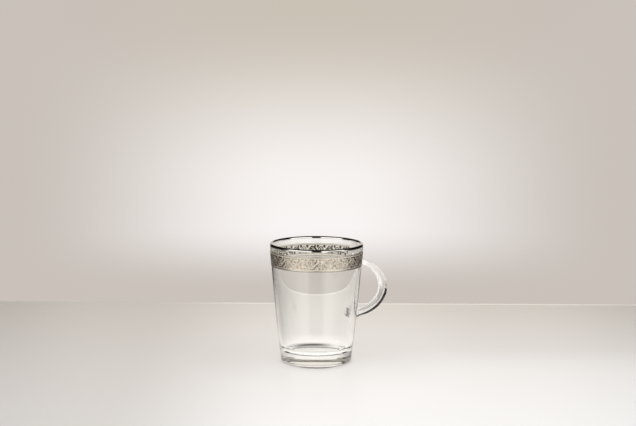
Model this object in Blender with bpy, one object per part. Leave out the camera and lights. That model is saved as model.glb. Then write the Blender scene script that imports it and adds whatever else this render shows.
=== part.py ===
"""Clear glass tea mug: tapered bowl, looped strap handle, metal line on the lip and metal band below it.

Metres, +Z up. The origin is on the bowl's axis, in the plane that the foot ring stands on.
The handle points along +X.
"""

import math

import bmesh
import bpy
from mathutils import Vector

# Glass bowl
HEIGHT = 0.100
RIM_RADIUS = 0.039
FOOT_RADIUS = 0.0297  # outside of the wall where the heel's curve ends
WALL_BULGE = 0.0006  # how far the wall swells past a straight line at half height
LIP_WALL = 0.0025
FOOT_WALL = 0.0053  # wall at the level of the inner floor
FLOOR_THICKNESS = 0.0090
FLOOR_CORNER_RADIUS = 0.0075
HEEL_RADIUS = 0.0030
FOOT_RING_WIDTH = 0.0030  # flat face that the glass stands on
PUNT_DEPTH = 0.0006  # hollow inside the foot ring
PUNT_SLOPE_WIDTH = 0.0040

# Glass handle
HANDLE_TOP_DROP = 0.0135  # from the rim down to the top of the loop
LOOP_HALF_DEPTH = 0.0309  # the loop is an oval, measured to the middle of the glass
LOOP_HALF_HEIGHT = 0.0229
LOOP_DROOP = math.radians(6.4)  # how far the oval's outer end hangs below level
LOOP_INSET = 0.0061  # the oval's centre lies this far inside the wall's outer face
LOOP_TURN = math.radians(116)  # each end runs this far round the oval, then the wall cuts it off
HANDLE_THICKNESS = 0.0045
HANDLE_WIDTH = 0.0092
HANDLE_EDGE_RADIUS = 0.0008
ROOT_FLARE = 0.0016  # how much the roots swell on each side as they meet the wall
ROOT_FLARE_LENGTH = 0.0065
ROOT_GAP = 0.0003  # between a root and the wall it is fused to

# Metal films, fired onto the glass
FILM_THICKNESS = 0.00020
FILM_GAP = 0.00015  # under the film
RIM_STRIPE_HEIGHT = 0.0020
LINING_DEPTH = 0.0014  # how far the rim stripe reaches down inside the lip
CLEAR_HEIGHT = 0.0040  # bare glass between the rim stripe and the thin line
UPPER_LINE_HEIGHT = 0.0007
BAND_HEIGHT = 0.0101
LOWER_LINE_HEIGHT = 0.0012
BARE_LINE = 0.0003  # bare glass between the band and the line over or under it
DECOR_OPENING = math.radians(19)  # the band and its lines end this far from the handle, on each side

# Fineness of the curves
TURN_STEPS = 64
ARC_STEPS = 6
WALL_STEPS = 6
LOOP_STEPS = 36
EDGE_STEPS = 3

# Heights of the stripes, counted down from the rim
RIM_STRIPE_BOTTOM = HEIGHT - RIM_STRIPE_HEIGHT
UPPER_LINE_TOP = RIM_STRIPE_BOTTOM - CLEAR_HEIGHT
UPPER_LINE_BOTTOM = UPPER_LINE_TOP - UPPER_LINE_HEIGHT
BAND_TOP = UPPER_LINE_BOTTOM - BARE_LINE
BAND_BOTTOM = BAND_TOP - BAND_HEIGHT
LOWER_LINE_TOP = BAND_BOTTOM - BARE_LINE
LOWER_LINE_BOTTOM = LOWER_LINE_TOP - LOWER_LINE_HEIGHT

# The rim stripe lies in a shallow step of the lip, flush with the wall below it
FILM_STEP = FILM_GAP + FILM_THICKNESS
STEP_BOTTOM = RIM_STRIPE_BOTTOM - FILM_GAP
LINING_BOTTOM = HEIGHT - LINING_DEPTH
LINING_STEP_BOTTOM = LINING_BOTTOM - FILM_GAP

LIP_RADIUS = LIP_WALL / 2
LIP_CENTRE = (RIM_RADIUS - LIP_RADIUS, HEIGHT - LIP_RADIUS)


def outer_radius(z):
    """Outside of the wall at a height, from the heel up to the lip."""
    share = (z - HEEL_RADIUS) / (HEIGHT - LIP_RADIUS - HEEL_RADIUS)
    straight = FOOT_RADIUS + (RIM_RADIUS - FOOT_RADIUS) * share
    return straight + 4 * WALL_BULGE * share * (1 - share)


FLOOR_RADIUS = outer_radius(FLOOR_THICKNESS) - FOOT_WALL
MOUTH_RADIUS = RIM_RADIUS - LIP_WALL
INNER_TAPER = (MOUTH_RADIUS - FLOOR_RADIUS) / (HEIGHT - LIP_RADIUS - FLOOR_THICKNESS)

# Centre of the handle's loop, in the plane of X and Z
LOOP_RISE = math.hypot(LOOP_HALF_DEPTH * math.sin(LOOP_DROOP), LOOP_HALF_HEIGHT * math.cos(LOOP_DROOP))
LOOP_CENTRE_Z = HEIGHT - HANDLE_TOP_DROP - HANDLE_THICKNESS / 2 - LOOP_RISE
LOOP_CENTRE_X = outer_radius(LOOP_CENTRE_Z) - LOOP_INSET


def inner_radius(z):
    """Inside of the wall at a height, before the floor's corner is rounded."""
    return FLOOR_RADIUS + INNER_TAPER * (z - FLOOR_THICKNESS)


def spread(start, end, steps):
    """Evenly spaced numbers from start to end, both included."""
    return [start + (end - start) * i / steps for i in range(steps + 1)]


def arc(centre, radius, start, end, steps=ARC_STEPS):
    """Points (r, z) on an arc, angles in radians from the +r direction."""
    angles = spread(start, end, steps)
    return [(centre[0] + radius * math.cos(a), centre[1] + radius * math.sin(a)) for a in angles]


def outer_wall(top, bottom, depth=0.0, steps=WALL_STEPS):
    """Points down the outside of the wall, sunk into it by depth."""
    return [(outer_radius(z) - depth, z) for z in spread(top, bottom, steps)]


def lip(depth):
    """Points over the rounded lip, sunk into it by depth."""
    return arc(LIP_CENTRE, LIP_RADIUS - depth, 0.0, math.pi)


def material(name, colour, roughness, metallic=0.0, transmission=0.0):
    """A Principled material."""
    made = bpy.data.materials.new(name)
    made.use_nodes = True
    shader = made.node_tree.nodes["Principled BSDF"]
    shader.inputs["Base Color"].default_value = (*colour, 1.0)
    shader.inputs["Roughness"].default_value = roughness
    shader.inputs["Metallic"].default_value = metallic
    shader.inputs["Transmission Weight"].default_value = transmission
    shader.inputs["IOR"].default_value = 1.52
    return made


def finished(name, shape, finish):
    """An object made from a bmesh, with one material and smooth round faces."""
    bmesh.ops.remove_doubles(shape, verts=shape.verts, dist=1e-7)
    bmesh.ops.recalc_face_normals(shape, faces=shape.faces)
    bmesh.ops.triangulate(shape, faces=shape.faces)
    mesh = bpy.data.meshes.new(name)
    shape.to_mesh(mesh)
    shape.free()
    mesh.shade_smooth()
    mesh.set_sharp_from_angle(angle=math.radians(35))
    if finish is not None:
        mesh.materials.append(finish)
    made = bpy.data.objects.new(name, mesh)
    bpy.context.collection.objects.link(made)
    return made


def turned(name, profile, finish, closed):
    """A solid turned about Z. The profile is closed, or it starts and ends on the axis."""
    shape = bmesh.new()
    verts = [shape.verts.new((r, 0.0, z)) for r, z in profile]
    pairs = list(zip(verts, verts[1:]))
    if closed:
        pairs.append((verts[-1], verts[0]))
    edges = [shape.edges.new(pair) for pair in pairs]
    bmesh.ops.spin(
        shape,
        geom=verts + edges,
        cent=(0, 0, 0),
        axis=(0, 0, 1),
        angle=math.tau,
        steps=TURN_STEPS,
        use_merge=True,
    )
    return finished(name, shape, finish)


def lofted(name, sections, finish):
    """A solid through sections that have the same number of points, closed at both ends."""
    shape = bmesh.new()
    rings = [[shape.verts.new(point) for point in section] for section in sections]
    for ring, following in zip(rings, rings[1:]):
        for step in range(len(ring)):
            after = (step + 1) % len(ring)
            shape.faces.new((ring[step], ring[after], following[after], following[step]))
    shape.faces.new(rings[0])
    shape.faces.new(rings[-1])
    return finished(name, shape, finish)


def cut(target, cutter):
    """Takes the cutter's space out of the target."""
    cutter.hide_render = True
    cutter.display_type = "WIRE"
    boolean = target.modifiers.new(cutter.name, "BOOLEAN")
    boolean.operation = "DIFFERENCE"
    boolean.solver = "EXACT"
    boolean.object = cutter


def body_profile():
    """Glass bowl from the middle of the inner floor, up the inside, over the lip and down to the punt."""
    slope = math.atan(INNER_TAPER)
    corner_z = FLOOR_THICKNESS + FLOOR_CORNER_RADIUS
    corner_r = inner_radius(corner_z) - FLOOR_CORNER_RADIUS / math.cos(slope)
    inside = [(0.0, FLOOR_THICKNESS)]
    inside += arc((corner_r, corner_z), FLOOR_CORNER_RADIUS, -math.pi / 2, -slope)
    inside += [(inner_radius(LINING_STEP_BOTTOM), LINING_STEP_BOTTOM)]
    inside += [(inner_radius(LINING_STEP_BOTTOM) + FILM_STEP, LINING_STEP_BOTTOM)]
    over_lip = lip(FILM_STEP)[::-1]
    outside = outer_wall(LIP_CENTRE[1], STEP_BOTTOM, FILM_STEP, steps=1)[1:]
    outside += outer_wall(STEP_BOTTOM, HEEL_RADIUS)
    heel_centre = (FOOT_RADIUS - HEEL_RADIUS, HEEL_RADIUS)
    outside += arc(heel_centre, HEEL_RADIUS, 0.0, -math.pi / 2)[1:]
    ring_inside = FOOT_RADIUS - HEEL_RADIUS - FOOT_RING_WIDTH
    underside = [(ring_inside, 0.0), (ring_inside - PUNT_SLOPE_WIDTH, PUNT_DEPTH), (0.0, PUNT_DEPTH)]
    return inside + over_lip + outside + underside


def glass_body(finish):
    return turned("glass_body", body_profile(), finish, closed=False)


def rim_stripe(finish):
    """Film down the outside of the lip, over its crest and a little way down the inside."""
    outer_face = outer_wall(RIM_STRIPE_BOTTOM, LIP_CENTRE[1], steps=2)
    outer_face += lip(0.0)[1:] + [(inner_radius(LINING_BOTTOM), LINING_BOTTOM)]
    inner_face = [(inner_radius(LINING_BOTTOM) + FILM_THICKNESS, LINING_BOTTOM)]
    inner_face += lip(FILM_THICKNESS)[::-1]
    inner_face += outer_wall(LIP_CENTRE[1], RIM_STRIPE_BOTTOM, FILM_THICKNESS, steps=2)[1:]
    return turned("rim_stripe", outer_face + inner_face, finish, closed=True)


def stripe(name, top, bottom, finish):
    """A film round the outside of the wall, open at the handle."""
    front = outer_wall(top, bottom, -FILM_STEP, steps=2)
    back = outer_wall(bottom, top, -FILM_GAP, steps=2)
    sections = []
    for angle in spread(DECOR_OPENING, math.tau - DECOR_OPENING, TURN_STEPS):
        outward = Vector((math.cos(angle), math.sin(angle), 0.0))
        sections.append([outward * r + Vector((0.0, 0.0, z)) for r, z in front + back])
    return lofted(name, sections, finish)


def handle_path():
    """Points (x, z) along the middle of the handle, from inside the wall at the top to the bottom."""
    points = []
    for turn in spread(LOOP_TURN, -LOOP_TURN, LOOP_STEPS):
        along = LOOP_HALF_DEPTH * math.cos(turn)
        above = LOOP_HALF_HEIGHT * math.sin(turn)
        x = LOOP_CENTRE_X + along * math.cos(LOOP_DROOP) + above * math.sin(LOOP_DROOP)
        z = LOOP_CENTRE_Z - along * math.sin(LOOP_DROOP) + above * math.cos(LOOP_DROOP)
        points.append((x, z))
    return points


def root_growth(x, z):
    """How much the handle swells at a point of its path, from its distance to the wall."""
    share = 1 - (x - outer_radius(z)) / ROOT_FLARE_LENGTH
    return ROOT_FLARE * min(max(share, 0.0), 1.0) ** 2


def handle_section(growth):
    """Points (outward, across) round the handle: flat faces joined by round edges."""
    radius = HANDLE_EDGE_RADIUS + growth
    out = HANDLE_THICKNESS / 2 - HANDLE_EDGE_RADIUS
    across = HANDLE_WIDTH / 2 - HANDLE_EDGE_RADIUS
    points = []
    for quarter, (side, face) in enumerate(((1, 1), (-1, 1), (-1, -1), (1, -1))):
        start = quarter * math.pi / 2
        points += arc((side * out, face * across), radius, start, start + math.pi / 2, EDGE_STEPS)
    return points


def handle_bar(finish):
    """A flat-faced bar along the handle's path, before the wall trims its ends."""
    path = [Vector((x, 0.0, z)) for x, z in handle_path()]
    across = Vector((0.0, 1.0, 0.0))
    sections = []
    for i, point in enumerate(path):
        ahead = path[min(i + 1, len(path) - 1)] - path[max(i - 1, 0)]
        outward = across.cross(ahead).normalized()
        section = handle_section(root_growth(point.x, point.z))
        sections.append([point + outward * out + across * side for out, side in section])
    return lofted("handle", sections, finish)


def wall_cutter():
    """The bowl's outside as a solid, grown by the root gap, which trims the handle's roots."""
    low, high = HEEL_RADIUS, STEP_BOTTOM
    side = outer_wall(high, low, -ROOT_GAP)
    return turned("wall_cutter", [(0.0, high)] + side + [(0.0, low)], None, closed=False)


def build():
    for old in list(bpy.data.objects):
        bpy.data.objects.remove(old)
    glass = material("clear_glass", (0.96, 0.97, 0.96), 0.02, transmission=1.0)
    handle_glass = material("handle_glass", (0.96, 0.97, 0.96), 0.03, transmission=1.0)
    polished = material("polished_film", (0.80, 0.78, 0.75), 0.08, metallic=1.0)
    line_metal = material("line_film", (0.78, 0.76, 0.73), 0.12, metallic=1.0)
    etched = material("etched_film", (0.66, 0.63, 0.58), 0.42, metallic=1.0)

    glass_body(glass)
    handle = handle_bar(handle_glass)
    cut(handle, wall_cutter())
    rim_stripe(polished)
    stripe("upper_line", UPPER_LINE_TOP, UPPER_LINE_BOTTOM, line_metal)
    stripe("etched_band", BAND_TOP, BAND_BOTTOM, etched)
    stripe("lower_line", LOWER_LINE_TOP, LOWER_LINE_BOTTOM, line_metal)


build()
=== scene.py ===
"""Looks of the clear glass tea mug: its glass, fired silver films with an etched scroll, and a studio.

Metres, +Z up, the bowl's axis on Z and the handle along +X, as in the frame. The photograph shows the
handle turned away from the camera, so the camera, lamps and stage stand in a studio turned about Z.
Colours are linear red, green, blue and alpha. A zone is a pair of values, empty at the first and full at
the second, and a share says how much of a tone comes in where its zones are full.
"""

import math

import bmesh
import bpy
import numpy as np
from mathutils import Matrix, Vector


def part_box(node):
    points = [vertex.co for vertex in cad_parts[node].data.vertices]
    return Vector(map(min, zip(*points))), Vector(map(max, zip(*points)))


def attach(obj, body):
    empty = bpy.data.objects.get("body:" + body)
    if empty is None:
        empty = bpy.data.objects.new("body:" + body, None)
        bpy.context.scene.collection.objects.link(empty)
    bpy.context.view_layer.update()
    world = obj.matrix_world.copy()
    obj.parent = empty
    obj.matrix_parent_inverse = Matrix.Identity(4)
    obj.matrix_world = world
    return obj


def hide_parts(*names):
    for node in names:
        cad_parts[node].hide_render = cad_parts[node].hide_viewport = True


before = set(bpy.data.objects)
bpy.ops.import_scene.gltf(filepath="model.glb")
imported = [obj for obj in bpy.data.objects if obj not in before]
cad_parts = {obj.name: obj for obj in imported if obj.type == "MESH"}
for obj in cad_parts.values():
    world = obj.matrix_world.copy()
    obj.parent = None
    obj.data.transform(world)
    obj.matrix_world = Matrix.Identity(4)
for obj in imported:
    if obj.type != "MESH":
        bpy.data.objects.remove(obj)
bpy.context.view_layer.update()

# Heights and radii that the frame gives
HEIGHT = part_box("rim_stripe")[1].z
RIM_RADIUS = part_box("rim_stripe")[1].y
RIM_STRIPE_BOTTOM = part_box("rim_stripe")[0].z
UPPER_LINE_BOTTOM, UPPER_LINE_TOP = (corner.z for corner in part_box("upper_line"))
BAND_BOTTOM, BAND_TOP = (corner.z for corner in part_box("etched_band"))
LOWER_LINE_BOTTOM, LOWER_LINE_TOP = (corner.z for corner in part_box("lower_line"))
HANDLE_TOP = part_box("handle")[1].z

# Glass bowl, the same sizes as the solids
FOOT_RADIUS = 0.0297
WALL_BULGE = 0.0006
LIP_WALL = 0.0025
FOOT_WALL = 0.0053
FLOOR_THICKNESS = 0.0090
FLOOR_CORNER_RADIUS = 0.0075
HEEL_RADIUS = 0.0030
FOOT_RING_WIDTH = 0.0030
PUNT_DEPTH = 0.0006
PUNT_SLOPE_WIDTH = 0.0040
LINING_DEPTH = 0.0014
DECOR_OPENING = math.radians(19)  # the band and its lines end this far from the handle, on each side

# Handle, the same sizes as the solids apart from its edges
LOOP_HALF_DEPTH = 0.0309
LOOP_HALF_HEIGHT = 0.0229
LOOP_DROOP = math.radians(6.4)
LOOP_INSET = 0.0061
HANDLE_THICKNESS = 0.0045
HANDLE_WIDTH = 0.0092
HANDLE_EDGE_RADIUS = 0.0004  # half the solid's, because crisp edges show the dark band inside the loop
ROOT_FLARE = 0.0016
ROOT_FLARE_LENGTH = 0.0065
ROOT_SINK = 0.0012  # the handle's glass runs this far into the wall, where the two are fused
ROOT_SEARCH = (math.pi / 4, math.pi * 0.75)  # turns round the loop between which each root lies

# Films: each stands proud of the glass, and its back lies in the glass so that no air shows between them
FILM_PROUD = 0.00002
FILM_SINK = 0.00008
RELIEF = 0.00016  # of the etched scroll over its ground
LINE_CROWN = 0.15  # rise of a polished line's middle, as a share of its height
# painted shade along each polished line's lower edge: where it lies and how softly it fades
LINE_SHADE_PLACE = -0.4  # across a line, from -1 at its lower edge to 1 at its upper edge
LINE_SHADE_FADE = 0.3

# Fineness of the meshes
TURN_STEPS = 192
FLOOR_STEPS = 6
CORNER_STEPS = 12
INSIDE_STEPS = 60
LIP_STEPS = 14
OUTSIDE_STEPS = 80
HEEL_STEPS = 12
PUNT_STEPS = 10
UNDERSIDE_STEPS = 5
EDGE_STEPS = 10
FLAT_SHARES = (0.08, 0.5, 0.92)  # where the handle's flat faces have points, so that they shade flat
LOOP_STEPS = 150
ROOT_SEARCH_STEPS = 40
BAND_COLUMNS = 1000
BAND_ROWS = 46
LINE_COLUMNS = 480
LINE_ROWS = 9
STRIPE_INSIDE_STEPS = 4
STRIPE_LIP_STEPS = 20
STRIPE_OUTSIDE_STEPS = 10
SHARP_ANGLE = math.radians(50)
BODY_FACES = 0  # number of the bowl's material in the fused glass
HANDLE_FACES = 1

# Etched ornament, in millimetres: a running vine with a coil in each bay, leaves, curls and dots
MILLIMETRES = 1000  # in a metre
BAYS = 32
STROKE = 0.24
BACK_STROKE = 0.42  # wider strokes on the back of the film, which are painted near black
EDGE_SOFTNESS = 0.16
VINE_SWING = 3.0
VINE_POINTS = 240
COIL_RADIUS = 2.6
COIL_EYE = 0.35
COIL_TURNS = 1.7
COIL_START = math.radians(160)
COIL_DROP = 0.9
COIL_POINTS = 260
LEAVES = (  # share of a bay, lean in degrees, length
    (0.12, 35, 2.6),
    (0.30, 75, 2.0),
    (0.72, 105, 2.0),
    (0.90, 145, 2.6),
)
LEAF_BEND = 1.6
LEAF_POINTS = 40
CURL_SHARES = (0.06, 0.94)  # of a bay
CURL_RADIUS = 1.25
CURL_EYE = 0.1
CURL_TURNS = 1.6
CURL_DROP = 0.36  # share of the band's height
CURL_POINTS = 60
DOT_SPACING = 1.15
DOT_ROW_SHARE = 0.866  # of the spacing, for dots in triangles
DOT_RADIUS = 0.18
DOT_CLEARANCE = 0.75
DOT_FADE = 0.3
BORDER_WIDTH = 0.45
BORDER_FADE = 0.25
GROOVE_PLACE = 0.55
GROOVE_WIDTH = 0.3

# Colours and finish of the glass
GLASS_TINT = (0.985, 0.99, 0.985, 1.0)
GLASS_SHADE = (0.93, 0.93, 0.925, 1.0)  # lamp light that has passed through it
GLASS_IOR = 1.5
WAVE_STRETCH = (1.0, 1.0, 0.15)  # the mould's waves run upright
SMEAR_ZONE = (0.45, 0.75)
SMEAR_ROUGHNESS = 0.02

# Colours and finish of the films
RIM_SILVER = (0.88, 0.86, 0.83, 1.0)
RIM_ROUGHNESS = 0.02
LINE_SILVER = (0.80, 0.72, 0.61, 1.0)
LINE_ROUGHNESS = 0.28
# painted shade along the polished lines' lower edge
LINE_EDGE_SHADE = (0.06, 0.05, 0.04, 1.0)
WORN_SHARE = 0.86  # of a polished film's colour, in the dull half of its grain
WORN_ZONE = (0.4, 0.7)
GRAIN_ROUGHNESS = 0.10
GROUND_DARK = (0.50, 0.44, 0.35, 1.0)
GROUND_PALE = (0.84, 0.76, 0.64, 1.0)
GROUND_ZONE = (0.38, 0.62)
GROUND_ROUGHNESS = 0.25
GROUND_DEPTH = 0.4
MOTTLE_SHARE = 0.7
GRAIN_SHARE = 0.3
SCROLL_SILVER = (0.97, 0.90, 0.80, 1.0)
SCROLL_ROUGHNESS = 0.36  # more than the ground's
SCROLL_DEPTH = -0.2  # less than the ground's
BACK_DARK_CREAM = (0.88, 0.80, 0.66, 1.0)
BACK_PALE_CREAM = (0.97, 0.94, 0.87, 1.0)
# painted reflection: the dark room that the polished marks on the film's back reflect
BACK_PAINTED_DARK = (0.02, 0.016, 0.012, 1.0)
BACK_ROUGHNESS = 0.45
BACK_GRAIN_ROUGHNESS = 0.2

# Studio: the photograph's camera looks along the studio's +Y
HANDLE_TURN = math.radians(22)
CAMERA_PLACE = (0.00104, -1.5742, 0.3458)
CAMERA_PITCH = math.radians(7.981)
CAMERA_ROLL = 0.00504
CAMERA_LENS = 108.2875
STUDIO = Matrix.Rotation(-HANDLE_TURN, 4, "Z")
SOFTBOX_WIDTH = 0.52
SOFTBOX_DEPTH = 0.90
SOFTBOX_POWER = 4.6
SOFTBOX_PLACE = Vector((0.38, -0.10, 1.05))  # of the right one
SOFTBOX_TILT = math.radians(18)
GLASS_BOUNCES = 24
MIRROR_BOUNCES = 12


def tone(red, green, blue):
    """A linear colour from the 0 to 255 values that a screen shows."""
    return tuple((value / 255 / 1.055 + 0.0521) ** 2.4 for value in (red, green, blue)) + (1.0,)


class Graph:
    """Short forms for building a node tree."""

    def __init__(self, tree):
        self.tree = tree
        self.tree.nodes.clear()

    def join(self, value, socket):
        """Sets a socket to a value, or links an output to it."""
        if isinstance(value, bpy.types.NodeSocket):
            self.tree.links.new(value, socket)
        else:
            socket.default_value = value

    def add(self, kind, inputs=None, **settings):
        """A node with its settings, and each input set to a value or linked to an output."""
        made = self.tree.nodes.new("ShaderNode" + kind)
        for name, value in settings.items():
            setattr(made, name, value)
        for name, value in (inputs or {}).items():
            self.join(value, made.inputs[name])
        return made

    def math(self, operation, *values):
        made = self.add("Math", operation=operation)
        for value, socket in zip(values, made.inputs):
            self.join(value, socket)
        return made.outputs[0]

    def product(self, first, *others):
        """All the values multiplied."""
        for value in others:
            first = self.math("MULTIPLY", first, value)
        return first

    def largest(self, first, *others):
        """The greatest of the values."""
        for value in others:
            first = self.math("MAXIMUM", first, value)
        return first

    def rest(self, value):
        """What a share leaves of the whole."""
        return self.math("SUBTRACT", 1.0, value)

    def fade(self, value, zone, ease="SMOOTHSTEP"):
        """0 where a zone is empty, 1 where it is full."""
        made = self.add("MapRange", {"Value": value, "From Min": zone[0], "From Max": zone[1]})
        made.interpolation_type = ease
        return made.outputs["Result"]

    def area(self, *limits):
        """1 where the zones of all the (value, zone) pairs are full, 0 where one of them is empty."""
        return self.product(*(self.fade(value, zone) for value, zone in limits))

    def ramp(self, value, stops, ease="LINEAR"):
        """A colour that changes with a value, through (position, colour) stops."""
        made = self.add("ValToRGB", {"Fac": value})
        made.color_ramp.interpolation = ease
        elements = made.color_ramp.elements
        while len(elements) < len(stops):
            elements.new(0.5)
        for element, (position, colour) in zip(elements, stops):
            element.position = position
            element.color = colour
        return made.outputs["Color"]

    def blend(self, share, first, second):
        """The first colour where share is 0, the second where it is 1."""
        made = self.add("Mix", data_type="RGBA")
        self.join(share, made.inputs["Factor"])
        self.join(first, made.inputs["A"])
        self.join(second, made.inputs["B"])
        return made.outputs["Result"]

    def place(self):
        """Where a point lies, in its object's own axes."""
        return self.add("TexCoord").outputs["Object"]

    def axes(self, vector):
        """X, Y and Z of a vector."""
        return tuple(self.add("SeparateXYZ", {"Vector": vector}).outputs)

    def noise(self, place, scale, detail):
        return self.add("TexNoise", {"Vector": place, "Scale": scale, "Detail": detail}).outputs["Fac"]

    def bump(self, height, strength, distance):
        inputs = {"Height": height, "Strength": strength, "Distance": distance}
        return self.add("Bump", inputs).outputs["Normal"]

    def scroll(self):
        """How much of the scroll, or of its painted dark, lies on a point of a film."""
        return self.add("Attribute", attribute_name="scroll").outputs["Fac"]

    def ray(self, fact):
        """What the light path says of the ray that meets the surface, such as Is Camera Ray."""
        return self.add("LightPath").outputs[fact]

    def cover(self, shader):
        """Puts a shader on the material's surface."""
        self.add("OutputMaterial", {"Surface": shader.outputs[0]})


def new_material(name):
    made = bpy.data.materials.new(name)
    made.use_nodes = True
    return made, Graph(made.node_tree)


def glass_material(name):
    """Clear pressed glass with the mould's faint waves. Lamps and soft light pass straight through."""
    made, graph = new_material(name)
    place = graph.place()
    drawn = graph.add("VectorMath", {0: place, 1: WAVE_STRETCH}, operation="MULTIPLY").outputs[0]
    waves = graph.noise(drawn, scale=70.0, detail=1.0)
    smears = graph.noise(place, scale=140.0, detail=3.0)
    glass = graph.add(
        "BsdfPrincipled",
        {
            "Base Color": GLASS_TINT,
            "Roughness": graph.product(graph.fade(smears, SMEAR_ZONE), SMEAR_ROUGHNESS),
            "IOR": GLASS_IOR,
            "Transmission Weight": 1.0,
            "Normal": graph.bump(waves, strength=0.06, distance=0.001),
        },
    )
    light = graph.largest(graph.ray("Is Shadow Ray"), graph.ray("Is Diffuse Ray"))
    clear = graph.add("BsdfTransparent", {"Color": GLASS_SHADE})
    graph.cover(graph.add("MixShader", {"Fac": light, 1: glass.outputs[0], 2: clear.outputs[0]}))
    return made


def seam_material():
    """Where the handle and the wall are fused: glass against glass, so light goes straight on."""
    made, graph = new_material("fused_seam")
    graph.cover(graph.add("BsdfTransparent"))
    return made


def polished_material(name, colour, roughness):
    """Bright silver film with a fine grain and a little unevenness, with painted shade along a polished
    line's lower edge.
    """
    made, graph = new_material(name)
    place = graph.place()
    waves = graph.noise(place, scale=160.0, detail=2.0)
    grain = graph.noise(place, scale=1500.0, detail=2.0)
    worn = tuple(WORN_SHARE * value for value in colour[:3]) + (1.0,)
    silver = graph.blend(graph.fade(grain, WORN_ZONE), colour, worn)
    metal = graph.add(
        "BsdfPrincipled",
        {
            "Base Color": graph.blend(graph.scroll(), silver, LINE_EDGE_SHADE),
            "Metallic": 1.0,
            "Roughness": graph.math("MULTIPLY_ADD", grain, GRAIN_ROUGHNESS, roughness),
            "Normal": graph.bump(waves, strength=0.10, distance=0.0005),
        },
    )
    graph.cover(metal)
    return made


def etched_material():
    """Warm silver: a mottled, pitted ground, and a scroll that is paler, less pitted and more matt."""
    made, graph = new_material("etched_silver")
    scroll = graph.scroll()
    place = graph.place()
    grain = graph.noise(place, scale=1400.0, detail=3.0)
    mottle = graph.noise(place, scale=520.0, detail=2.0)
    pits = graph.math("MULTIPLY_ADD", mottle, MOTTLE_SHARE, graph.product(grain, GRAIN_SHARE))
    ground = graph.blend(graph.fade(pits, GROUND_ZONE), GROUND_DARK, GROUND_PALE)
    depth = graph.math("MULTIPLY_ADD", scroll, SCROLL_DEPTH, GROUND_DEPTH)
    metal = graph.add(
        "BsdfPrincipled",
        {
            "Base Color": graph.blend(scroll, ground, SCROLL_SILVER),
            "Metallic": 1.0,
            "Roughness": graph.math("MULTIPLY_ADD", scroll, SCROLL_ROUGHNESS, GROUND_ROUGHNESS),
            "Normal": graph.bump(pits, strength=depth, distance=0.0006),
        },
    )
    graph.cover(metal)
    return made


def underside_material(name):
    """Back of a fired film, seen through the glass: cream and matt, painted near black on the scroll's marks
    and groove and along a line's shaded lower edge.
    """
    made, graph = new_material(name)
    grain = graph.noise(graph.place(), scale=700.0, detail=2.0)
    cream = graph.blend(grain, BACK_DARK_CREAM, BACK_PALE_CREAM)
    surface = graph.add(
        "BsdfPrincipled",
        {
            "Base Color": graph.blend(graph.scroll(), cream, BACK_PAINTED_DARK),
            "Roughness": graph.math("MULTIPLY_ADD", grain, BACK_GRAIN_ROUGHNESS, BACK_ROUGHNESS),
        },
    )
    graph.cover(surface)
    return made


def outer_radius(z):
    """Outside of the wall at a height."""
    share = (z - HEEL_RADIUS) / (HEIGHT - LIP_WALL / 2 - HEEL_RADIUS)
    return FOOT_RADIUS + (RIM_RADIUS - FOOT_RADIUS) * share + 4 * WALL_BULGE * share * (1 - share)


def outer_slope(z):
    """Lean of the outside of the wall at a height, from upright."""
    step = 1e-5
    return math.atan((outer_radius(z + step) - outer_radius(z - step)) / (2 * step))


FLOOR_RADIUS = outer_radius(FLOOR_THICKNESS) - FOOT_WALL
INNER_TAPER = (RIM_RADIUS - LIP_WALL - FLOOR_RADIUS) / (HEIGHT - LIP_WALL / 2 - FLOOR_THICKNESS)
INNER_SLOPE = math.atan(INNER_TAPER)


def inner_radius(z):
    """Inside of the wall at a height."""
    return FLOOR_RADIUS + INNER_TAPER * (z - FLOOR_THICKNESS)


# Round lip, tangent to both sides of the wall
LIP_SLOPE = outer_slope(HEIGHT - LIP_WALL / 2)
LIP_RADIUS = LIP_WALL / (1 / math.cos(LIP_SLOPE) + 1 / math.cos(INNER_SLOPE))
LIP_CENTRE = (inner_radius(HEIGHT - LIP_RADIUS) + LIP_RADIUS / math.cos(INNER_SLOPE), HEIGHT - LIP_RADIUS)

# Centre of the handle's loop, in the plane of X and Z
LOOP_RISE = math.hypot(LOOP_HALF_DEPTH * math.sin(LOOP_DROOP), LOOP_HALF_HEIGHT * math.cos(LOOP_DROOP))
LOOP_CENTRE_Z = HANDLE_TOP - HANDLE_THICKNESS / 2 - LOOP_RISE
LOOP_CENTRE_X = outer_radius(LOOP_CENTRE_Z) - LOOP_INSET


def spread(start, end, steps):
    """Evenly spaced numbers from start to end, both included."""
    return [start + (end - start) * i / steps for i in range(steps + 1)]


def arc(centre, radius, start, end, steps):
    """Points (r, z) on an arc, angles in radians from the +r direction."""
    angles = spread(start, end, steps)
    return [(centre[0] + radius * math.cos(a), centre[1] + radius * math.sin(a)) for a in angles]


def lip_arc(grow, steps):
    """Points over the lip from its inside to its outside, grown by an amount."""
    return arc(LIP_CENTRE, LIP_RADIUS + grow, math.pi - INNER_SLOPE, -LIP_SLOPE, steps)


def link(name, mesh, *finishes):
    """An object for a mesh, with its materials."""
    for finish in finishes:
        mesh.materials.append(finish)
    made = bpy.data.objects.new(name, mesh)
    bpy.context.scene.collection.objects.link(made)
    return made


def finished_mesh(name, shape):
    """A mesh with its faces pointing out, from a shape that is then freed."""
    bmesh.ops.recalc_face_normals(shape, faces=shape.faces)
    mesh = bpy.data.meshes.new(name)
    shape.to_mesh(mesh)
    shape.free()
    return mesh


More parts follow.
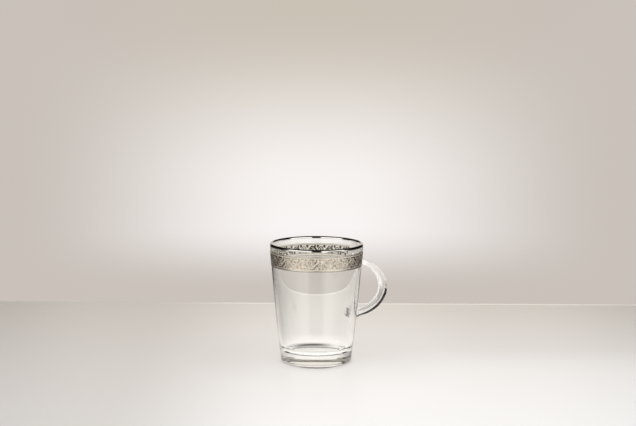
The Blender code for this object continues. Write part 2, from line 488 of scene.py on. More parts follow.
def turned(name, profile, closed):
    """A mesh turned about Z. The profile is closed, or it starts and ends on the axis."""
    shape = bmesh.new()
    verts = [shape.verts.new((r, 0.0, z)) for r, z in profile]
    pairs = list(zip(verts, verts[1:]))
    if closed:
        pairs.append((verts[-1], verts[0]))
    edges = [shape.edges.new(pair) for pair in pairs]
    bmesh.ops.spin(
        shape,
        geom=verts + edges,
        cent=(0, 0, 0),
        axis=(0, 0, 1),
        angle=math.tau,
        steps=TURN_STEPS,
        use_merge=True,
    )
    bmesh.ops.remove_doubles(shape, verts=shape.verts, dist=1e-7)
    mesh = finished_mesh(name, shape)
    mesh.shade_smooth()
    return mesh


def body_profile():
    """Glass bowl from the middle of the inner floor, up the inside, over the lip and down to the punt."""
    corner_z = FLOOR_THICKNESS + FLOOR_CORNER_RADIUS
    corner_r = inner_radius(corner_z) - FLOOR_CORNER_RADIUS / math.cos(INNER_SLOPE)
    corner = arc((corner_r, corner_z), FLOOR_CORNER_RADIUS, -math.pi / 2, -INNER_SLOPE, CORNER_STEPS)
    floor = [(r, FLOOR_THICKNESS) for r in spread(0.0, corner_r, FLOOR_STEPS)[:-1]]
    lip = lip_arc(0.0, LIP_STEPS)
    inside = [(inner_radius(z), z) for z in spread(corner[-1][1], lip[0][1], INSIDE_STEPS)[1:-1]]
    heel_slope = outer_slope(HEEL_RADIUS)
    heel_centre = (FOOT_RADIUS - HEEL_RADIUS / math.cos(heel_slope), HEEL_RADIUS)
    heel = arc(heel_centre, HEEL_RADIUS, -heel_slope, -math.pi / 2, HEEL_STEPS)
    outside = [(outer_radius(z), z) for z in spread(lip[-1][1], heel[0][1], OUTSIDE_STEPS)[1:-1]]
    ring_inside = heel_centre[0] - FOOT_RING_WIDTH
    punt = []
    for share in spread(0.0, 1.0, PUNT_STEPS):
        rise = PUNT_DEPTH * (1 - math.cos(math.pi * share)) / 2
        punt.append((ring_inside - PUNT_SLOPE_WIDTH * share, rise))
    under = [(r, PUNT_DEPTH) for r in spread(punt[-1][0], 0.0, UNDERSIDE_STEPS)[1:]]
    return floor + corner + inside + lip + outside + heel + punt + under


def loop_point(turn):
    """Point (x, z) on the middle of the handle's oval."""
    along = LOOP_HALF_DEPTH * math.cos(turn)
    above = LOOP_HALF_HEIGHT * math.sin(turn)
    x = LOOP_CENTRE_X + along * math.cos(LOOP_DROOP) + above * math.sin(LOOP_DROOP)
    z = LOOP_CENTRE_Z - along * math.sin(LOOP_DROOP) + above * math.cos(LOOP_DROOP)
    return x, z


def root_turn(side):
    """How far round the oval the handle's middle lies sunk in the wall; side is 1 at the top, -1 below."""
    near, far = (side * turn for turn in ROOT_SEARCH)
    for _ in range(ROOT_SEARCH_STEPS):
        middle = (near + far) / 2
        x, z = loop_point(middle)
        if x > outer_radius(z) - ROOT_SINK:
            near = middle
        else:
            far = middle
    return near


def root_growth(x, z):
    """How much the handle swells on each side, from its middle's distance to the wall."""
    share = 1 - (x - outer_radius(z)) / ROOT_FLARE_LENGTH
    return ROOT_FLARE * min(max(share, 0.0), 1.0) ** 2


def handle_section(growth):
    """Points (outward, across) round the handle: flat faces joined by round edges."""
    radius = HANDLE_EDGE_RADIUS + growth
    half_thickness = HANDLE_THICKNESS / 2 - HANDLE_EDGE_RADIUS
    half_width = HANDLE_WIDTH / 2 - HANDLE_EDGE_RADIUS
    edges = []
    for quarter, (side, face) in enumerate(((1, 1), (-1, 1), (-1, -1), (1, -1))):
        start = quarter * math.pi / 2
        centre = (side * half_thickness, face * half_width)
        edges.append(arc(centre, radius, start, start + math.pi / 2, EDGE_STEPS))
    points = []
    for edge, following in zip(edges, edges[1:] + edges[:1]):
        gap = np.subtract(following[0], edge[-1])
        points += edge + [tuple(edge[-1] + gap * share) for share in FLAT_SHARES]
    return points


def handle_mesh():
    """A bar along the loop, with both ends sunk in the wall."""
    shape = bmesh.new()
    across = Vector((0.0, 1.0, 0.0))
    small = 1e-4
    rings = []
    for turn in spread(root_turn(1), root_turn(-1), LOOP_STEPS):
        x, z = loop_point(turn)
        before, after = loop_point(turn + small), loop_point(turn - small)
        ahead = Vector((after[0] - before[0], 0.0, after[1] - before[1]))
        outward = across.cross(ahead).normalized()
        place = Vector((x, 0.0, z))
        section = handle_section(root_growth(x, z))
        rings.append([shape.verts.new(place + outward * out + across * side) for out, side in section])
    for ring, following in zip(rings, rings[1:]):
        for step in range(len(ring)):
            after = (step + 1) % len(ring)
            shape.faces.new((ring[step], ring[after], following[after], following[step]))
    shape.faces.new(rings[0])
    shape.faces.new(rings[-1])
    for face in shape.faces:
        face.material_index = HANDLE_FACES
    mesh = finished_mesh("handle", shape)
    mesh.shade_smooth()
    return mesh


def fused_glass(glass, handle_glass):
    """One mesh of bowl and handle grown together. A face's material says which of the two it is on."""
    bowl = link("bowl", turned("bowl", body_profile(), closed=False), glass, handle_glass)
    bar = link("bar", handle_mesh(), glass, handle_glass)
    union = bowl.modifiers.new("union", "BOOLEAN")
    union.operation = "UNION"
    union.solver = "EXACT"
    union.object = bar
    scene_state = bpy.context.evaluated_depsgraph_get()
    fused = bpy.data.meshes.new_from_object(bowl.evaluated_get(scene_state))
    bpy.data.objects.remove(bowl)
    bpy.data.objects.remove(bar)
    return fused


def part_of_glass(fused, own, name, finish, seam):
    """One of the two glass pieces, closed at the roots by the seam that it shares with the other."""
    shape = bmesh.new()
    shape.from_mesh(fused)
    other = [face for face in shape.faces if face.material_index != own]
    bmesh.ops.delete(shape, geom=other, context="FACES")
    cut = [edge for edge in shape.edges if edge.is_boundary]
    caps = bmesh.ops.holes_fill(shape, edges=cut, sides=0)["faces"]
    caps = set(bmesh.ops.triangulate(shape, faces=caps)["faces"])
    for edge in cut:
        edge.smooth = False
    for face in shape.faces:
        face.material_index = 1 if face in caps else 0
        face.smooth = True
    return link(name, finished_mesh(name, shape), finish, seam)


def on_wall(angle, z, rise):
    """Points on the outside of the wall, raised from it, for arrays of angles and heights."""
    radius = outer_radius(z) + rise
    return np.stack([radius * np.cos(angle), radius * np.sin(angle), z], axis=-1)


def sheet_mesh(name, front, back):
    """A closed thin shell between two grids of points of the same size. Material 1 is on its back."""
    columns, rows = front.shape[:2]
    points = np.concatenate([front.reshape(-1, 3), back.reshape(-1, 3)])
    behind = columns * rows  # added to a front point's number, this gives the point behind it
    index = np.arange(behind).reshape(columns, rows)

    def quads(a, b, c, d):
        return np.stack([a.ravel(), b.ravel(), c.ravel(), d.ravel()], axis=1)

    low, high = index[:-1], index[1:]
    first, last = index[0], index[-1]
    faces = [
        quads(low[:, :-1], low[:, 1:], high[:, 1:], high[:, :-1]) + behind,
        quads(low[:, :-1], high[:, :-1], high[:, 1:], low[:, 1:]),
        quads(low[:, 0], low[:, 0] + behind, high[:, 0] + behind, high[:, 0]),
        quads(low[:, -1], high[:, -1], high[:, -1] + behind, low[:, -1] + behind),
        quads(first[:-1], first[1:], first[1:] + behind, first[:-1] + behind),
        quads(last[:-1], last[:-1] + behind, last[1:] + behind, last[1:]),
    ]
    mesh = bpy.data.meshes.new(name)
    mesh.from_pydata(points.tolist(), [], np.concatenate(faces).tolist())
    backs = np.zeros(len(mesh.polygons), dtype=np.int32)
    backs[: len(faces[0])] = 1
    mesh.polygons.foreach_set("material_index", backs)
    mesh.shade_smooth()
    mesh.set_sharp_from_angle(angle=SHARP_ANGLE)
    return mesh


def vine_height(share):
    """How far the vine swings from the band's middle, at a share of a bay."""
    return VINE_SWING * np.sin(math.pi * share)


def spiral(centre, radius, eye, start, turns, count):
    """Points on a spiral that winds in to its eye."""
    share = np.linspace(0.0, 1.0, count)
    angle = start + share * turns * math.tau
    reach = radius * (1 - share) + eye
    return np.stack([centre[0] + reach * np.cos(angle), centre[1] + reach * np.sin(angle)], axis=1)


def leaf(root, lean, length):
    """Points on a leaf, which bends as it grows."""
    bend = lean + np.linspace(0.0, 1.0, LEAF_POINTS) * LEAF_BEND
    step = np.stack([np.cos(bend), np.sin(bend)], axis=1) * (length / LEAF_POINTS)
    return root + np.cumsum(step, axis=0)


def vine_strokes(bay, height):
    """Points on the strokes of one bay, whose coil hangs under the vine. The vine runs on past its ends."""
    along = np.linspace(-0.5, 1.5, VINE_POINTS)
    vine = np.stack([along * bay, vine_height(along)], axis=1)
    centre = (bay / 2, -COIL_DROP)
    coil = spiral(centre, COIL_RADIUS, COIL_EYE, COIL_START, -COIL_TURNS, COIL_POINTS)
    strokes = [vine, coil]
    for share, lean, length in LEAVES:
        strokes.append(leaf(np.array([share * bay, vine_height(share)]), math.radians(lean), length))
    for share in CURL_SHARES:
        centre = (share * bay, -height * CURL_DROP)
        strokes.append(spiral(centre, CURL_RADIUS, CURL_EYE, 0.0, CURL_TURNS, CURL_POINTS))
    return np.concatenate(strokes)


def ease(value):
    """A smooth step from 0 to 1."""
    value = np.clip(value, 0.0, 1.0)
    return value * value * (3 - 2 * value)


def soft_edged(distance, reach):
    """1 within a reach, 0 beyond it, with a soft edge between."""
    return ease((reach + EDGE_SOFTNESS - distance) / (2 * EDGE_SOFTNESS))


def dots(along, above):
    """1 on the dots of a triangular grid, 0 between them."""
    row_spacing = DOT_SPACING * DOT_ROW_SHARE
    row = np.floor(above / row_spacing + 0.5)
    shift = 0.5 * (row % 2)
    column = np.floor(along / DOT_SPACING - shift + 0.5)
    distance = np.hypot(along - (column + shift) * DOT_SPACING, above - row * row_spacing)
    return soft_edged(distance, DOT_RADIUS)


def scroll_mask(angle, z):
    """Shares of scroll on the band's front and of painted dark on its back, for arrays of angles and
    heights.
    """
    middle = (BAND_TOP + BAND_BOTTOM) / 2
    bay = math.tau * outer_radius(middle) / BAYS * MILLIMETRES
    height = (BAND_TOP - BAND_BOTTOM) * MILLIMETRES
    position = angle / math.tau * BAYS
    number = np.floor(position)
    side = 1 - 2 * (number % 2)  # every other bay is upside down
    along = (position - number) * bay
    above = (z - middle) * MILLIMETRES * side
    nearest = np.full(along.shape, np.inf)
    for point in vine_strokes(bay, height):
        np.minimum(nearest, np.hypot(along - point[0], above - point[1]), out=nearest)
    dot = dots(along, above) * ease((nearest - DOT_CLEARANCE) / DOT_FADE)
    from_edge = height / 2 - np.abs(above)
    inside = ease((from_edge - BORDER_WIDTH) / BORDER_FADE)
    groove = ease(1 - np.abs(from_edge - GROOVE_PLACE) / GROOVE_WIDTH)
    scroll = np.maximum(np.maximum(soft_edged(nearest, STROKE), dot) * inside, 1 - inside)
    # the scroll's marks and groove on the back, a real pattern, painted near black as the reflection of the
    # dark room in their polish
    painted_dark = np.maximum(soft_edged(nearest, BACK_STROKE) * inside, groove)
    return scroll, painted_dark


def round_wall(columns, rows, bottom, top):
    """Angles and heights of a grid on the wall, open at the handle."""
    angle = np.linspace(DECOR_OPENING, math.tau - DECOR_OPENING, columns)
    return np.meshgrid(angle, np.linspace(bottom, top, rows), indexing="ij")


def film(name, front, back, front_mark, back_mark, finishes):
    """A fired film, with the scroll and its painted dark stored on its points."""
    mesh = sheet_mesh(name, front, back)
    mark = mesh.attributes.new("scroll", "FLOAT", "POINT")
    mark.data.foreach_set("value", np.concatenate([front_mark.ravel(), back_mark.ravel()]))
    return link(name, mesh, *finishes)


def etched_band(*finishes):
    """Film with the scroll raised on it."""
    angle, z = round_wall(BAND_COLUMNS, BAND_ROWS, BAND_BOTTOM, BAND_TOP)
    scroll, painted_dark = scroll_mask(angle, z)
    front = on_wall(angle, z, FILM_PROUD + RELIEF * scroll)
    back = on_wall(angle, z, RELIEF * scroll - FILM_SINK)
    return film("etched_band.looks", front, back, scroll, painted_dark, finishes)


def polished_line(name, bottom, top, *finishes):
    """A thin polished line with a low crown, with painted shade along its lower edge."""
    angle, z = round_wall(LINE_COLUMNS, LINE_ROWS, bottom, top)
    across = (2 * z - bottom - top) / (top - bottom)
    front = on_wall(angle, z, FILM_PROUD + LINE_CROWN * (top - bottom) * (1 - across**2))
    back = on_wall(angle, z, -FILM_SINK)
    painted_dark = ease((LINE_SHADE_PLACE - across) / LINE_SHADE_FADE)
    return film(name, front, back, painted_dark, painted_dark, finishes)


def rim_stripe(finish):
    """Polished film over the lip and a little way down on both sides."""
    lip_z = HEIGHT - LIP_RADIUS
    inside = spread(HEIGHT - LINING_DEPTH, lip_z, STRIPE_INSIDE_STEPS)
    face = [(inner_radius(z) - FILM_PROUD, z) for z in inside[:-1]]
    face += lip_arc(FILM_PROUD, STRIPE_LIP_STEPS)
    outside = spread(face[-1][1], RIM_STRIPE_BOTTOM, STRIPE_OUTSIDE_STEPS)
    face += [(outer_radius(z) + FILM_PROUD, z) for z in outside[1:]]
    outside = spread(RIM_STRIPE_BOTTOM, lip_z, STRIPE_OUTSIDE_STEPS)
    back = [(outer_radius(z) - FILM_SINK, z) for z in outside[:-1]]
    back += lip_arc(-FILM_SINK, STRIPE_LIP_STEPS)[::-1]
    back += [(inner_radius(z) + FILM_SINK, z) for z in reversed(inside[:-1])]
    mesh = turned("rim_stripe.looks", face + back, closed=True)
    mesh.set_sharp_from_angle(angle=SHARP_ANGLE)
    return link("rim_stripe.looks", mesh, finish)


def dress():
    """Makes each piece, in the place of its solid."""
    glass = glass_material("clear_glass")
    handle_glass = glass_material("handle_glass")
    seam = seam_material()
    polished = polished_material("polished_silver", RIM_SILVER, RIM_ROUGHNESS)
    line = polished_material("line_silver", LINE_SILVER, LINE_ROUGHNESS)
    matt = underside_material("line_back")

    fused = fused_glass(glass, handle_glass)
    made = {
        "glass_body": (part_of_glass(fused, BODY_FACES, "glass_body.looks", glass, seam), "body_glass"),
        "handle": (part_of_glass(fused, HANDLE_FACES, "handle.looks", handle_glass, seam), "handle_glass"),
        "rim_stripe": (rim_stripe(polished), "polished_film"),
        "upper_line": (
            polished_line("upper_line.looks", UPPER_LINE_BOTTOM, UPPER_LINE_TOP, line, matt),
            "line_film",
        ),
        "etched_band": (etched_band(etched_material(), underside_material("etched_back")), "etched_film"),
        "lower_line": (
            polished_line("lower_line.looks", LOWER_LINE_BOTTOM, LOWER_LINE_TOP, line, matt),
            "line_film",
        ),
    }
    for node, (piece, slot) in made.items():
        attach(piece, "root")
        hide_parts(node)


def reflected(graph):
    """1 where a ray has been reflected on its way, else 0."""
    return graph.math("GREATER_THAN", graph.ray("Glossy Depth"), 0.5)


def seen_in_mirror(graph):
    """1 where a ray has been reflected by metal or by the outside of the glass, else 0."""
    return graph.product(reflected(graph), graph.math("LESS_THAN", graph.ray("Transmission Depth"), 0.5))


def seen_through_glass(graph):
    """1 where a ray has been bent by glass, 0 where it comes straight to the camera or from a mirror."""
    return graph.product(graph.rest(graph.ray("Is Camera Ray")), graph.rest(seen_in_mirror(graph)))


# Table: the tones of its top, with painted light and shade
TABLE_HALF_WIDTH = 2.5
TABLE_FRONT = -2.5
TABLE_BACK = 0.2605
TABLE_ROUGHNESS = 0.35
TABLE_GLOSS = 0.25
TABLE_DEPTH_Y = (-0.25, TABLE_BACK)
TABLE_FALLOFF_TONES = ((0.0, (0.950, 0.939, 0.938, 1.0)), (1.0, (0.735, 0.69, 0.635, 1.0)))
PAINTED_SHADE_TONE = (0.45, 0.42, 0.38, 1.0)
LEFT_SHADE_X = (-0.02, -0.16)
LEFT_SHADE_SHARE = 0.48
RIGHT_SHADE_X = (0.06, 0.16)
RIGHT_SHADE_SHARE = 0.22
PAINTED_LIGHT_TONE = (1.0, 0.995, 0.985, 1.0)
PAINTED_LIGHT_X = (0.0, 0.06)
PAINTED_LIGHT_Y = (0.06, -0.05)
PAINTED_LIGHT_SHARE = 0.40
PAINTED_EDGE_HIGHLIGHT_TONE = (0.90, 0.86, 0.81, 1.0)
PAINTED_EDGE_HIGHLIGHT_X = (-0.15, -0.05)
PAINTED_EDGE_HIGHLIGHT_Y = (TABLE_BACK - 0.006, TABLE_BACK - 0.003)


def painted_table_light(graph, x, y, through):
    """The table's painted light and shade: darker at the back and sides, paler at the front right, with a
    painted highlight along its back edge.
    """
    # painted falloff of the light, from the pale front to the darker back
    depth = graph.fade(y, TABLE_DEPTH_Y, "LINEAR")
    pale = graph.ramp(depth, TABLE_FALLOFF_TONES)
    # painted shade on the left, and on the right for the camera and mirrors
    left = graph.product(graph.fade(x, LEFT_SHADE_X), LEFT_SHADE_SHARE)
    pale = graph.blend(left, pale, PAINTED_SHADE_TONE)
    right = graph.product(graph.fade(x, RIGHT_SHADE_X), depth, graph.rest(through), RIGHT_SHADE_SHARE)
    pale = graph.blend(right, pale, PAINTED_SHADE_TONE)
    # painted light: a pale patch at the front right
    painted_light = graph.product(graph.area((x, PAINTED_LIGHT_X), (y, PAINTED_LIGHT_Y)), PAINTED_LIGHT_SHARE)
    pale = graph.blend(painted_light, pale, PAINTED_LIGHT_TONE)
    # painted highlight along the table's back edge
    return graph.blend(graph.area((x, PAINTED_EDGE_HIGHLIGHT_X), (y, PAINTED_EDGE_HIGHLIGHT_Y)), pale, PAINTED_EDGE_HIGHLIGHT_TONE)


# Table: where mirrors show it unlit, painted dark in its colour
TABLE_UNLIT_TONE = (0.02, 0.018, 0.016, 1.0)
FAR_REACH = (0.50, 0.70)
ASIDE_X = (0.14, 0.24)
ASIDE_Y = (-0.12, -0.02)
CAMERA_SHADE_SLANT = (0.25, 0.17)
CAMERA_SHADE_Y = (-0.15, -0.25)
FRONT_RIGHT_X = (0.15, 0.18)
FRONT_RIGHT_Y = (-0.16, -0.19)


def table_unlit(graph, x, y, reach):
    """Where mirrors show the table painted dark: far off, at both sides, under the camera and at the front
    right.
    """
    off_axis = graph.math("ABSOLUTE", x)
    slant = graph.math("DIVIDE", off_axis, reach)
    aside = graph.area((off_axis, ASIDE_X), (y, ASIDE_Y))
    camera_shade = graph.area((slant, CAMERA_SHADE_SLANT), (y, CAMERA_SHADE_Y))
    front_right = graph.area((x, FRONT_RIGHT_X), (y, FRONT_RIGHT_Y))
    away = graph.largest(graph.fade(reach, FAR_REACH), aside, camera_shade, front_right)
    return graph.product(away, seen_in_mirror(graph))


# Table: painted shade and glow that the glass shows on it, and its painted shade where the foot stands
# painted shade on the table's left, seen only through the glass
SHADE_IN_GLASS_TONE = (0.08, 0.075, 0.07, 1.0)
SHADE_IN_GLASS_X = (-0.015, -0.085)
SHADE_IN_GLASS_SHARE = 0.22
RING_TONE = (0.06, 0.05, 0.04, 1.0)
RING_INSIDE = (0.023, 0.027)
RING_OUTSIDE = (0.041, 0.032)
RING_Y = (0.0, 0.015)
RING_MIDDLE_X = -0.005
RING_OFF_MIDDLE = (0.027, 0.005)
RING_SHARE = 0.94
# painted glow: the table's emission for rays through the glass, in place of caustics
CAUSTIC_TONE = (1.0, 0.97, 0.93, 1.0)
CAUSTIC_REACH = (0.12, 0.02)
CAUSTIC_GLOW = 0.32
GLASS_GLOW = 0.022
# painted contact shade and shadow line at the foot, for the camera alone
CONTACT_TONE = (0.10, 0.09, 0.08, 1.0)
CONTACT_REACH = (0.032, 0.0265)
CONTACT_SHARE = 0.5
FOOT_SHADOW_LINE_REACH = (0.0322, 0.0300)
FOOT_SHADOW_LINE_X = (0.017, 0.006)
FOOT_SHADOW_LINE_Y = (0.0, -0.02)
FOOT_SHADOW_LINE_SHARE = 0.8


def shaded_ring(graph, x, y, reach):
    """The rear half of the ring on which the foot stands, which glass shows dark as painted shade."""
    off_middle = graph.math("ABSOLUTE", graph.math("SUBTRACT", x, RING_MIDDLE_X))
    ring = graph.area((reach, RING_INSIDE), (reach, RING_OUTSIDE))
    return graph.product(ring, graph.area((y, RING_Y), (off_middle, RING_OFF_MIDDLE)))


def caustic_glow(graph, reach, ring, through):
    """Painted glow, given off by the table for rays through the glass, for the light that the glass gathers
    near it, outside the shaded ring.
    """
    near = graph.product(through, CAUSTIC_GLOW, graph.fade(reach, CAUSTIC_REACH))
    return graph.product(graph.math("MULTIPLY_ADD", through, GLASS_GLOW, near), graph.rest(ring))


def contact_shade(graph, x, y, reach, pale):
    """The table's colour with the foot's painted soft shade and a painted shadow line at its front, for the
    camera alone.
    """
    camera = graph.ray("Is Camera Ray")
    contact = graph.product(graph.fade(reach, CONTACT_REACH), CONTACT_SHARE, camera)
    pale = graph.blend(contact, pale, CONTACT_TONE)
    off_axis = graph.math("ABSOLUTE", x)
    line = graph.area((reach, FOOT_SHADOW_LINE_REACH), (off_axis, FOOT_SHADOW_LINE_X), (y, FOOT_SHADOW_LINE_Y))
    return graph.blend(graph.product(line, FOOT_SHADOW_LINE_SHARE, camera), pale, CONTACT_TONE)


def table_material():
    """Pale table with a faint gloss. Camera, glass and mirrors each see it with its own painted light, shade
    and glow.
    """
    made, graph = new_material("table_white")
    place = graph.place()
    x, y, _ = graph.axes(place)
    reach = graph.add("VectorMath", {0: place}, operation="LENGTH").outputs["Value"]
    through = seen_through_glass(graph)
    pale = painted_table_light(graph, x, y, through)
    # painted shade on the table's left, for rays through the glass
    shade_in_glass = graph.product(graph.fade(x, SHADE_IN_GLASS_X), SHADE_IN_GLASS_SHARE, through)
    pale = graph.blend(shade_in_glass, pale, SHADE_IN_GLASS_TONE)
    # painted shadow: a dark ring behind the foot, seen through the glass
    ring = shaded_ring(graph, x, y, reach)
    pale = graph.blend(graph.product(ring, RING_SHARE, through), pale, RING_TONE)
    pale = contact_shade(graph, x, y, reach, pale)
    surface = graph.add(
        "BsdfPrincipled",
        {
            "Base Color": graph.blend(table_unlit(graph, x, y, reach), pale, TABLE_UNLIT_TONE),
            "Roughness": TABLE_ROUGHNESS,
            "Specular IOR Level": TABLE_GLOSS,
            # painted glow: emission for rays through the glass
            "Emission Color": CAUSTIC_TONE,
            "Emission Strength": caustic_glow(graph, reach, ring, through),
        },
    )
    graph.cover(surface)
    return made


def studio_sheet(name, corners, finish):
    """A flat sheet that stands in the studio."""
    mesh = bpy.data.meshes.new(name)
    mesh.from_pydata(corners, [], [(0, 1, 2, 3)])
    made = link(name, mesh, finish)
    made.matrix_world = STUDIO
    return made


def table_top():
    """Table with a back edge, under the mug."""
    outline = [
        (-TABLE_HALF_WIDTH, TABLE_FRONT, 0.0),
        (TABLE_HALF_WIDTH, TABLE_FRONT, 0.0),
        (TABLE_HALF_WIDTH, TABLE_BACK, 0.0),
        (-TABLE_HALF_WIDTH, TABLE_BACK, 0.0),
    ]
    table = studio_sheet("table", outline, table_material())


# Backdrop: the paper's painted light and shade, then the painted glow and dark that glass and mirrors show
# of it
BACKDROP_HALF_WIDTH = 2.5
BACKDROP_BOTTOM = -0.7
BACKDROP_TOP = 1.3
BACKDROP_Y = 0.9
PAPER_Z = (-0.11, 0.29)
# painted falloff of the light on the paper
PAPER_FALLOFF_TONES = (
    (0.02, tone(203, 195, 188)),
    (0.23, tone(249, 245, 244)),
    (0.33, tone(248, 244, 241)),
    (0.93, tone(203, 194, 182)),
)
# painted shade on both sides
PAPER_SIDE_SHADE_TONE = tone(201, 193, 186)
PAPER_SIDE_X = (0.02, 0.40)
# painted glow, for rays through the glass
GLOW_Z = (-0.10, -0.045)
GLOW_LOW_TONE = (1.02, 0.99, 0.95, 1.0)
GLOW_HIGH_TONE = tone(240, 233, 223)
GLOW_HIGH_Z = (0.05, 0.16)
UNLIT_TONE = (0.01, 0.009, 0.008, 1.0)
GLASS_DARK_TOP_Z = (0.30, 0.36)
GLASS_DARK_LEFT_X = (-0.60, -0.68)
GLASS_DARK_LEFT_Z = (-0.10, -0.06)
GLASS_DARK_SIDE_X = (0.38, 0.46)
GLASS_DARK_SIDE_BOTTOM = (-0.02, 0.02)
GLASS_DARK_SIDE_TOP = (0.17, 0.13)
MIRROR_DARK_SIDE_X = (0.30, 0.45)
MIRROR_DARK_TOP_Z = (0.30, 0.38)


def painted_paper_light(graph, aside, z, through):
    """The paper's painted light and shade: brightest over the table's edge, darker below, above and aside,
    with a painted glow in glass.
    """
    paper = graph.ramp(graph.fade(z, PAPER_Z, "LINEAR"), PAPER_FALLOFF_TONES, "EASE")
    paper = graph.blend(graph.fade(aside, PAPER_SIDE_X), paper, PAPER_SIDE_SHADE_TONE)
    glowing = graph.blend(graph.fade(z, GLOW_HIGH_Z), GLOW_LOW_TONE, GLOW_HIGH_TONE)
    return graph.blend(graph.product(through, graph.fade(z, GLOW_Z)), paper, glowing)


def paper_unlit(graph, x, aside, z, through):
    """Where the paper is painted dark: in glass high up, far left and low aside, in mirrors high up and
    aside.
    """
    left = graph.area((x, GLASS_DARK_LEFT_X), (z, GLASS_DARK_LEFT_Z))
    low = graph.area((z, GLASS_DARK_SIDE_BOTTOM), (z, GLASS_DARK_SIDE_TOP))
    sides = graph.product(low, graph.fade(aside, GLASS_DARK_SIDE_X))
    in_glass = graph.largest(left, sides, graph.fade(z, GLASS_DARK_TOP_Z))
    in_mirror = graph.largest(graph.fade(aside, MIRROR_DARK_SIDE_X), graph.fade(z, MIRROR_DARK_TOP_Z))
    mirror = seen_in_mirror(graph)
    return graph.largest(graph.product(in_mirror, mirror), graph.product(in_glass, through))


def backdrop_material():
    """Paper that shines with its painted light and shade to the camera, the glass and the mirrors, and gives
    the table no light.
    """
    made, graph = new_material("backdrop_paper")
    x, _, z = graph.axes(graph.place())
    aside = graph.math("ABSOLUTE", x)
    through = seen_through_glass(graph)
    paper = painted_paper_light(graph, aside, z, through)
    paper = graph.blend(paper_unlit(graph, x, aside, z, through), paper, UNLIT_TONE)
    straight = graph.rest(graph.ray("Is Diffuse Ray"))
    graph.cover(graph.add("Emission", {"Color": paper, "Strength": straight}))
    made.cycles.emission_sampling = "NONE"
    return made


def backdrop():
    """Sheet of paper behind the table."""
    outline = [
        (-BACKDROP_HALF_WIDTH, BACKDROP_Y, BACKDROP_BOTTOM),
        (BACKDROP_HALF_WIDTH, BACKDROP_Y, BACKDROP_BOTTOM),
        (BACKDROP_HALF_WIDTH, BACKDROP_Y, BACKDROP_TOP),
        (-BACKDROP_HALF_WIDTH, BACKDROP_Y, BACKDROP_TOP),
    ]
    paper_sheet = studio_sheet("backdrop", outline, backdrop_material())


# World, by how far a ray points up or forward, and by its bearing in radians from the front to a side
SCREEN_TONE = (1.6, 1.56, 1.50, 1.0)
SCREEN_INNER_BEARING = (0.17, 0.25)
SCREEN_OUTER_BEARING = (1.36, 1.18)
SCREEN_UP = (0.58, 0.48)
DARK_ROOM_TONE = (0.008, 0.007, 0.006, 1.0)
SOFT_ROOM_TONE = (0.50, 0.49, 0.48, 1.0)
PALE_ROOM_TONE = tone(226, 220, 213)
DARK_TOP_UP = (0.28, 0.34)
DARK_LEFT_UP = (-0.01, 0.03)
DARK_LEFT_FRONT_BEARING = (1.0, 1.4)
DARK_LEFT_REAR_BEARING = (2.74, 2.60)
DARK_FRONT_FORWARD = (0.05, 0.25)
DARK_FRONT_SHARE = 0.6
# painted reflections of two lamps, seen only in the glass
PAINTED_LAMP_TONE = (1.9, 1.86, 1.81, 1.0)
PAINTED_LAMP_INNER_BEARING = (0.34, 0.56)
PAINTED_LAMP_OUTER_BEARING = (1.45, 0.85)
PAINTED_LAMP_UP = (0.30, 0.22)


def room_in_glass(graph, x, forward, up, bearing, through):
    """The pale room. Glass shows it painted dark above, on the left and in front, with painted reflections
    of two lamps that light nothing.
    """
    beside = graph.area((bearing, DARK_LEFT_FRONT_BEARING), (bearing, DARK_LEFT_REAR_BEARING))
    on_left = graph.math("LESS_THAN", x, 0.0)
    left = graph.product(beside, graph.fade(up, DARK_LEFT_UP), on_left)
    front = graph.product(graph.fade(forward, DARK_FRONT_FORWARD), DARK_FRONT_SHARE)
    unlit = graph.largest(left, front, graph.fade(up, DARK_TOP_UP))
    room = graph.blend(graph.product(unlit, through), PALE_ROOM_TONE, UNLIT_TONE)
    # painted reflections of two lamps, for rays reflected within the glass
    lamp = graph.area((bearing, PAINTED_LAMP_INNER_BEARING), (bearing, PAINTED_LAMP_OUTER_BEARING), (up, PAINTED_LAMP_UP))
    return graph.blend(graph.product(lamp, reflected(graph), through), room, PAINTED_LAMP_TONE)


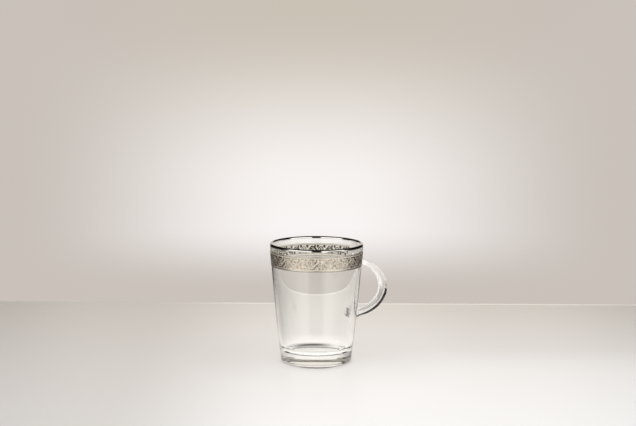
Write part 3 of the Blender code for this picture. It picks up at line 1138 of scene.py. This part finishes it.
def surroundings():
    """World: a pale room, which metal shows dark, with two lit screens that also give the soft light."""
    world = bpy.data.worlds.new("studio")
    bpy.context.scene.world = world
    world.use_nodes = True
    world.cycles.sampling_method = "NONE"
    graph = Graph(world.node_tree)
    ray = graph.add("TexCoord").outputs["Generated"]
    turned_ray = graph.add("VectorRotate", {"Vector": ray, "Angle": HANDLE_TURN}, rotation_type="Z_AXIS")
    x, y, up = graph.axes(turned_ray.outputs[0])
    forward = graph.math("MULTIPLY", y, -1.0)
    bearing = graph.math("ABSOLUTE", graph.math("ARCTAN2", x, forward))
    screen = graph.area((bearing, SCREEN_INNER_BEARING), (bearing, SCREEN_OUTER_BEARING), (up, SCREEN_UP))
    pale = room_in_glass(graph, x, forward, up, bearing, seen_through_glass(graph))
    mirrored = graph.blend(screen, DARK_ROOM_TONE, SCREEN_TONE)
    soft = graph.blend(screen, SOFT_ROOM_TONE, SCREEN_TONE)
    seen = graph.blend(seen_in_mirror(graph), pale, mirrored)
    light = graph.blend(graph.ray("Is Diffuse Ray"), seen, soft)
    sky = graph.add("Background", {"Color": light, "Strength": 1.0})
    graph.add("OutputWorld", {"Surface": sky.outputs[0]})


def softboxes():
    """Two large lamps over the table, which light it and are not seen in the glass or the metal."""
    for side in (-1, 1):
        lamp = bpy.data.lights.new("softbox", "AREA")
        lamp.shape = "RECTANGLE"
        lamp.size = SOFTBOX_WIDTH
        lamp.size_y = SOFTBOX_DEPTH
        lamp.energy = SOFTBOX_POWER
        made = bpy.data.objects.new("softbox", lamp)
        bpy.context.scene.collection.objects.link(made)
        place = Matrix.Translation(SOFTBOX_PLACE * Vector((side, 1, 1)))
        made.matrix_world = STUDIO @ place @ Matrix.Rotation(side * SOFTBOX_TILT, 4, "Y")
        made.visible_glossy = False
        made.visible_transmission = False


def camera():
    """The photograph's view."""
    lens = bpy.data.cameras.new("camera")
    lens.lens = CAMERA_LENS
    made = bpy.data.objects.new("camera", lens)
    bpy.context.scene.collection.objects.link(made)
    place = Matrix.Translation(CAMERA_PLACE)
    pitch = Matrix.Rotation(math.pi / 2 - CAMERA_PITCH, 4, "X")
    made.matrix_world = STUDIO @ place @ pitch @ Matrix.Rotation(CAMERA_ROLL, 4, "Z")
    bpy.context.scene.camera = made


def picture():
    """Plain colours, and enough bounces for glass behind glass."""
    scene = bpy.context.scene
    scene.view_settings.view_transform = "Standard"
    scene.cycles.max_bounces = GLASS_BOUNCES
    scene.cycles.transmission_bounces = GLASS_BOUNCES
    scene.cycles.glossy_bounces = MIRROR_BOUNCES
    scene.cycles.transparent_max_bounces = GLASS_BOUNCES


camera()
dress()
table_top()
backdrop()
surroundings()
softboxes()
picture()
